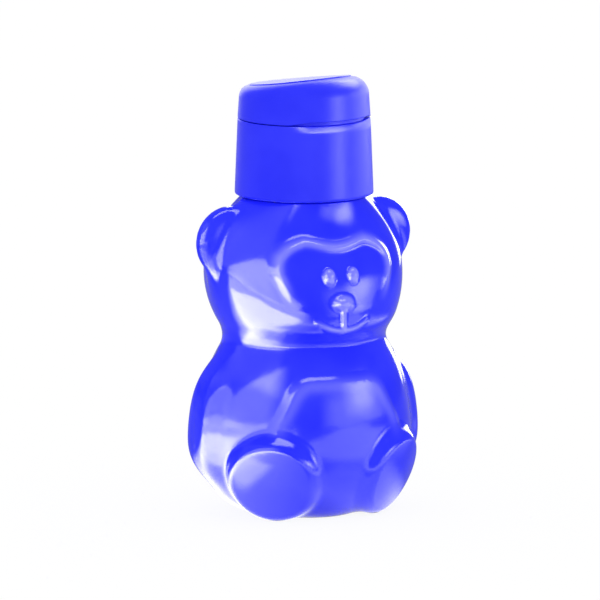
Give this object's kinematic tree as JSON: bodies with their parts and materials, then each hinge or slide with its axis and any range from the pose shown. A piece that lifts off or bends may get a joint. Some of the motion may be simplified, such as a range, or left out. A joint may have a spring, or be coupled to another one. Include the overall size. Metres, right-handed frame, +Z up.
{
  "type": "water bottle",
  "caption": "Bear-shaped water bottle: hollow moulded bear with ears, arms and feet, screw cap with a drinking spout, and a hinged wedge lid with a sealing plug.",
  "frame": {"origin": "centre of the flat base that the bottle stands on", "axes": "+Z up along the neck's axis; the bear faces -Y; its left side is +X"},
  "size_m": [0.0844, 0.0672, 0.1527],
  "materials": {
    "bottle_plastic": "glossy translucent blue, blow-moulded",
    "cap_plastic": "satin blue, injection-moulded",
    "silicone": "soft matt silicone",
    "pin_steel": "bright drawn pin"
  },
  "bodies": {
    "bottle": {"bottle_shell": "bottle_plastic"},
    "seal": {"neck_seal": "silicone"},
    "cap": {"cap_base": "cap_plastic", "hinge_pin": "pin_steel"},
    "lid": {"flip_lid": "cap_plastic", "spout_plug": "silicone"}
  },
  "joints": [
    {"name": "cap_lift", "type": "slide", "parent": "bottle", "child": "seal", "axis": [0, 0, 1], "range_m": [0, 0.02143]},
    {"name": "cap_turn", "type": "hinge", "parent": "seal", "child": "cap", "pos_m": [0, 0, 0.137], "axis": [0, 0, 1], "range_deg": [0, 960]},
    {"name": "lid_hinge", "type": "hinge", "parent": "cap", "child": "lid", "pos_m": [-0.00623, 0.02499, 0.13715], "axis": [-0.9703, -0.2419, 0], "range_deg": [0, 130]}
  ],
  "couplings": [
    {"joint": "cap_lift", "follows": "cap_turn", "m_per_rad": 0.0012732}
  ]
}
